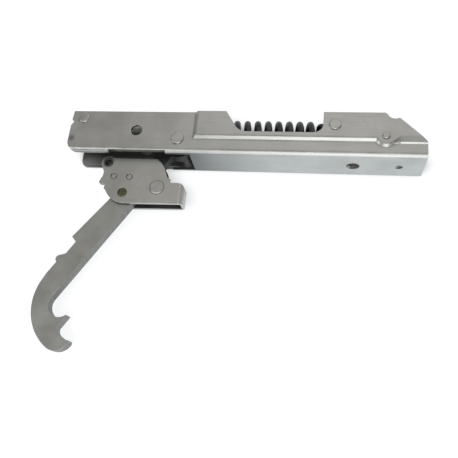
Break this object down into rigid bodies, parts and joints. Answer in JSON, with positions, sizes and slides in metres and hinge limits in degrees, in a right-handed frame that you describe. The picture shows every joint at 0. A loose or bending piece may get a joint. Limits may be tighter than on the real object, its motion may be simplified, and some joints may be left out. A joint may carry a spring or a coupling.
{
  "type": "oven door hinge",
  "caption": "Folded steel channel with an extension spring that pulls a hooked arm through a sliding link; a folded clip on the arm turns to lock it for taking the door off.",
  "frame": {"origin": "middle of the front fixing bore that runs through both flanges of the channel", "axes": "+X along the channel towards its rear end, +Y from the web to the open edge, +Z along the fixing bore and the pivot axes"},
  "size_m": [0.1983, 0.1332, 0.0288],
  "materials": {
    "zinc_sheet": "zinc-plated sheet, satin",
    "rivet": "zinc-plated, worn",
    "spacer": "plain steel",
    "spring_wire": "dark oiled spring steel",
    "arm_plate": "zinc-plated plate, matt",
    "pin": "plain steel",
    "olive_pin": "yellow passivated",
    "clip_sheet": "zinc-plated sheet, satin",
    "roll_pin": "dark spring steel",
    "link_sheet": "zinc-plated sheet"
  },
  "bodies": {
    "channel": {"hinge_channel": "zinc_sheet", "front_cross_rivet": "rivet", "arm_pivot_pin": "rivet", "spring_anchor_pin": "rivet", "rear_cross_rivet": "rivet", "pivot_spacer_near": "spacer", "pivot_spacer_far": "spacer", "extension_spring": "spring_wire"},
    "arm": {"hook_arm": "arm_plate", "crank_pin": "pin", "clip_pivot_pin": "olive_pin"},
    "clip": {"locking_clip": "clip_sheet", "clip_spacer_rivet": "pin", "clip_roll_pin": "roll_pin"},
    "link": {"spring_link": "link_sheet", "link_spring_pin": "pin"}
  },
  "joints": [
    {"name": "arm_pivot", "type": "hinge", "parent": "channel", "child": "arm", "pos_m": [0.0235, -0.0042, 0], "axis": [0, 0, 1], "range_deg": [-52, 36]},
    {"name": "clip_turn", "type": "hinge", "parent": "arm", "child": "clip", "pos_m": [-0.00524, -0.03388, 0], "axis": [0, 0, 1], "range_deg": [-53, 0]},
    {"name": "link_slide", "type": "slide", "parent": "channel", "child": "link", "axis": [1, 0, 0], "range_m": [-0.0051, 0.0074], "deforming": ["extension_spring"]}
  ],
  "couplings": [
    {"joint": "link_slide", "follows": "arm_pivot", "m_per_rad": -0.00794}
  ]
}
